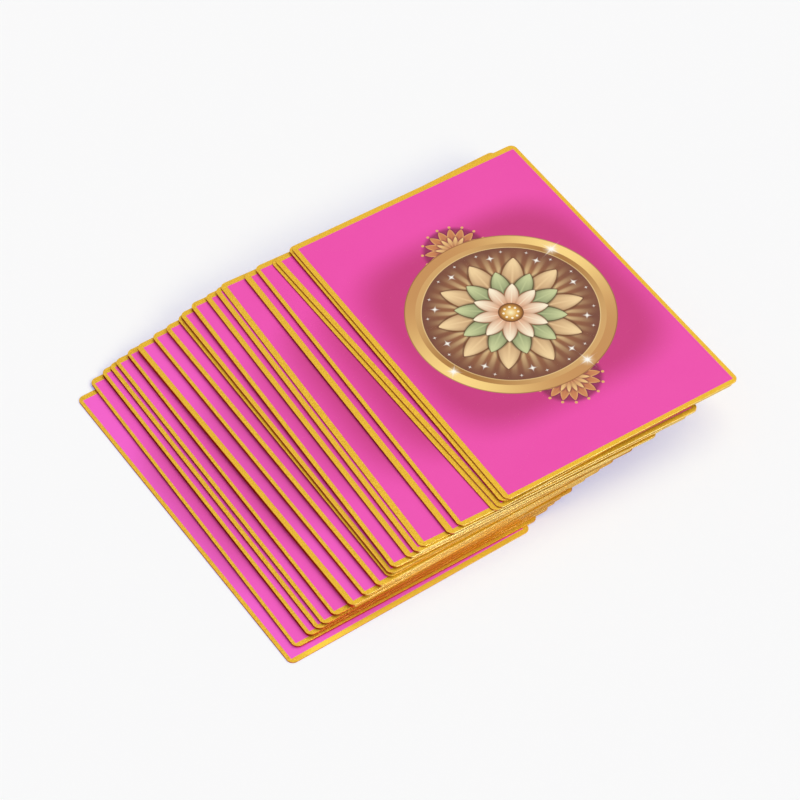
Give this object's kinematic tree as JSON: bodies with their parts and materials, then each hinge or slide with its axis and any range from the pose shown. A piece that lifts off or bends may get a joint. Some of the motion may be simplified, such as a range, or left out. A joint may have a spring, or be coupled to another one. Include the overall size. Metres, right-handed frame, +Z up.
{
  "type": "oracle card deck",
  "caption": "Loose deck of large gilt-edged cards with rounded corners and foil borders, lying back up in an overlapping spread; each card slides in its own plane.",
  "frame": {"origin": "on the table, under the middle of the whole spread's box", "axes": "+X along the spread, towards the top card; +Y along the cards' long side; +Z up"},
  "size_m": [0.1738, 0.1324, 0.0176],
  "materials": {
    "card": "satin print with a gold foil border and gilt edges"
  },
  "bodies": {
    "bottom_card": {"bottom_card": "card"},
    "card_02": {"card_02": "card"},
    "card_03": {"card_03": "card"},
    "card_04": {"card_04": "card"},
    "card_05": {"card_05": "card"},
    "card_06": {"card_06": "card"},
    "card_07": {"card_07": "card"},
    "card_08": {"card_08": "card"},
    "card_09": {"card_09": "card"},
    "card_10": {"card_10": "card"},
    "card_11": {"card_11": "card"},
    "card_12": {"card_12": "card"},
    "card_13": {"card_13": "card"},
    "card_14": {"card_14": "card"},
    "card_15": {"card_15": "card"},
    "card_16": {"card_16": "card"},
    "card_17": {"card_17": "card"},
    "card_18": {"card_18": "card"},
    "card_19": {"card_19": "card"},
    "card_20": {"card_20": "card"},
    "card_21": {"card_21": "card"},
    "card_22": {"card_22": "card"},
    "card_23": {"card_23": "card"},
    "card_24": {"card_24": "card"},
    "card_25": {"card_25": "card"},
    "card_26": {"card_26": "card"},
    "card_27": {"card_27": "card"},
    "card_28": {"card_28": "card"},
    "card_29": {"card_29": "card"},
    "card_30": {"card_30": "card"},
    "card_31": {"card_31": "card"},
    "card_32": {"card_32": "card"},
    "card_33": {"card_33": "card"},
    "card_34": {"card_34": "card"},
    "card_35": {"card_35": "card"},
    "card_36": {"card_36": "card"},
    "card_37": {"card_37": "card"},
    "card_38": {"card_38": "card"},
    "card_39": {"card_39": "card"},
    "card_40": {"card_40": "card"},
    "card_41": {"card_41": "card"},
    "card_42": {"card_42": "card"},
    "card_43": {"card_43": "card"},
    "top_card": {"top_card": "card"}
  },
  "joints": [
    {"name": "card_02_slide", "type": "slide", "parent": "bottom_card", "child": "card_02", "axis": [0.8929, 0.4503, 0], "range_m": [-0.00627, 0.006]},
    {"name": "card_03_slide", "type": "slide", "parent": "bottom_card", "child": "card_03", "axis": [0.8944, 0.4472, 0], "range_m": [-0.00615, 0.006]},
    {"name": "card_04_slide", "type": "slide", "parent": "bottom_card", "child": "card_04", "axis": [0.9487, 0.3161, 0], "range_m": [-0.01107, 0.006]},
    {"name": "card_05_slide", "type": "slide", "parent": "bottom_card", "child": "card_05", "axis": [0.9486, 0.3165, 0], "range_m": [-0.01115, 0.006]},
    {"name": "card_06_slide", "type": "slide", "parent": "bottom_card", "child": "card_06", "axis": [0.9487, 0.3162, 0], "range_m": [-0.01107, 0.006]},
    {"name": "card_07_slide", "type": "slide", "parent": "bottom_card", "child": "card_07", "axis": [0.9663, 0.2574, 0], "range_m": [-0.01399, 0.006]},
    {"name": "card_08_slide", "type": "slide", "parent": "bottom_card", "child": "card_08", "axis": [0.968, 0.251, 0], "range_m": [-0.01395, 0.006]},
    {"name": "card_09_slide", "type": "slide", "parent": "bottom_card", "child": "card_09", "axis": [0.9762, 0.2169, 0], "range_m": [-0.01623, 0.006]},
    {"name": "card_10_slide", "type": "slide", "parent": "bottom_card", "child": "card_10", "axis": [0.9762, 0.2169, 0], "range_m": [-0.01613, 0.006]},
    {"name": "card_11_slide", "type": "slide", "parent": "bottom_card", "child": "card_11", "axis": [0.9848, 0.1739, 0], "range_m": [-0.02031, 0.006]},
    {"name": "card_12_slide", "type": "slide", "parent": "bottom_card", "child": "card_12", "axis": [0.9844, 0.176, 0], "range_m": [-0.02036, 0.006]},
    {"name": "card_13_slide", "type": "slide", "parent": "bottom_card", "child": "card_13", "axis": [0.985, 0.1724, 0], "range_m": [-0.0203, 0.006]},
    {"name": "card_14_slide", "type": "slide", "parent": "bottom_card", "child": "card_14", "axis": [0.991, 0.1338, 0], "range_m": [-0.02477, 0.006]},
    {"name": "card_15_slide", "type": "slide", "parent": "bottom_card", "child": "card_15", "axis": [0.9912, 0.1321, 0], "range_m": [-0.02472, 0.006]},
    {"name": "card_16_slide", "type": "slide", "parent": "bottom_card", "child": "card_16", "axis": [0.9914, 0.1312, 0], "range_m": [-0.02478, 0.006]},
    {"name": "card_17_slide", "type": "slide", "parent": "bottom_card", "child": "card_17", "axis": [0.9913, 0.1315, 0], "range_m": [-0.02471, 0.006]},
    {"name": "card_18_slide", "type": "slide", "parent": "bottom_card", "child": "card_18", "axis": [0.9948, 0.1023, 0], "range_m": [-0.03018, 0.006]},
    {"name": "card_19_slide", "type": "slide", "parent": "bottom_card", "child": "card_19", "axis": [0.9947, 0.1027, 0], "range_m": [-0.03017, 0.006]},
    {"name": "card_20_slide", "type": "slide", "parent": "bottom_card", "child": "card_20", "axis": [0.995, 0.0995, 0], "range_m": [-0.03015, 0.006]},
    {"name": "card_21_slide", "type": "slide", "parent": "bottom_card", "child": "card_21", "axis": [0.9969, 0.0785, 0], "range_m": [-0.03519, 0.006]},
    {"name": "card_22_slide", "type": "slide", "parent": "bottom_card", "child": "card_22", "axis": [0.9969, 0.0784, 0], "range_m": [-0.03512, 0.006]},
    {"name": "card_23_slide", "type": "slide", "parent": "bottom_card", "child": "card_23", "axis": [0.9969, 0.0783, 0], "range_m": [-0.03511, 0.006]},
    {"name": "card_24_slide", "type": "slide", "parent": "bottom_card", "child": "card_24", "axis": [0.997, 0.0778, 0], "range_m": [-0.03972, 0.006]},
    {"name": "card_25_slide", "type": "slide", "parent": "bottom_card", "child": "card_25", "axis": [0.9971, 0.0757, 0], "range_m": [-0.03961, 0.006]},
    {"name": "card_26_slide", "type": "slide", "parent": "bottom_card", "child": "card_26", "axis": [0.9972, 0.0752, 0], "range_m": [-0.04062, 0.006]},
    {"name": "card_27_slide", "type": "slide", "parent": "bottom_card", "child": "card_27", "axis": [0.9973, 0.0739, 0], "range_m": [-0.04061, 0.006]},
    {"name": "card_28_slide", "type": "slide", "parent": "bottom_card", "child": "card_28", "axis": [0.998, 0.0631, 0], "range_m": [-0.04369, 0.006]},
    {"name": "card_29_slide", "type": "slide", "parent": "bottom_card", "child": "card_29", "axis": [0.9979, 0.0641, 0], "range_m": [-0.04363, 0.006]},
    {"name": "card_30_slide", "type": "slide", "parent": "bottom_card", "child": "card_30", "axis": [0.998, 0.0631, 0], "range_m": [-0.04359, 0.006]},
    {"name": "card_31_slide", "type": "slide", "parent": "bottom_card", "child": "card_31", "axis": [0.9986, 0.0528, 0], "range_m": [-0.04914, 0.006]},
    {"name": "card_32_slide", "type": "slide", "parent": "bottom_card", "child": "card_32", "axis": [0.9987, 0.051, 0], "range_m": [-0.04906, 0.006]},
    {"name": "card_33_slide", "type": "slide", "parent": "bottom_card", "child": "card_33", "axis": [0.9993, 0.0384, 0], "range_m": [-0.0523, 0.006]},
    {"name": "card_34_slide", "type": "slide", "parent": "bottom_card", "child": "card_34", "axis": [0.9993, 0.0383, 0], "range_m": [-0.05229, 0.006]},
    {"name": "card_35_slide", "type": "slide", "parent": "bottom_card", "child": "card_35", "axis": [0.9989, 0.0458, 0], "range_m": [-0.05456, 0.006]},
    {"name": "card_36_slide", "type": "slide", "parent": "bottom_card", "child": "card_36", "axis": [0.9997, 0.0251, 0], "range_m": [-0.06359, 0.006]},
    {"name": "card_37_slide", "type": "slide", "parent": "bottom_card", "child": "card_37", "axis": [0.9997, 0.0236, 0], "range_m": [-0.06352, 0.006]},
    {"name": "card_38_slide", "type": "slide", "parent": "bottom_card", "child": "card_38", "axis": [0.9997, 0.0228, 0], "range_m": [-0.06781, 0.006]},
    {"name": "card_39_slide", "type": "slide", "parent": "bottom_card", "child": "card_39", "axis": [0.9998, 0.0221, 0], "range_m": [-0.06777, 0.006]},
    {"name": "card_40_slide", "type": "slide", "parent": "bottom_card", "child": "card_40", "axis": [0.9996, 0.0294, 0], "range_m": [-0.07653, 0.006]},
    {"name": "card_41_slide", "type": "slide", "parent": "bottom_card", "child": "card_41", "axis": [0.9996, 0.0288, 0], "range_m": [-0.07803, 0.006]},
    {"name": "card_42_slide", "type": "slide", "parent": "bottom_card", "child": "card_42", "axis": [0.9997, 0.0226, 0], "range_m": [-0.08184, 0.006]},
    {"name": "card_43_slide", "type": "slide", "parent": "bottom_card", "child": "card_43", "axis": [0.9998, 0.0214, 0], "range_m": [-0.08177, 0.006]},
    {"name": "top_card_slide", "type": "slide", "parent": "bottom_card", "child": "top_card", "axis": [0.9998, 0.0181, 0], "range_m": [-0.08301, 0.006]}
  ]
}
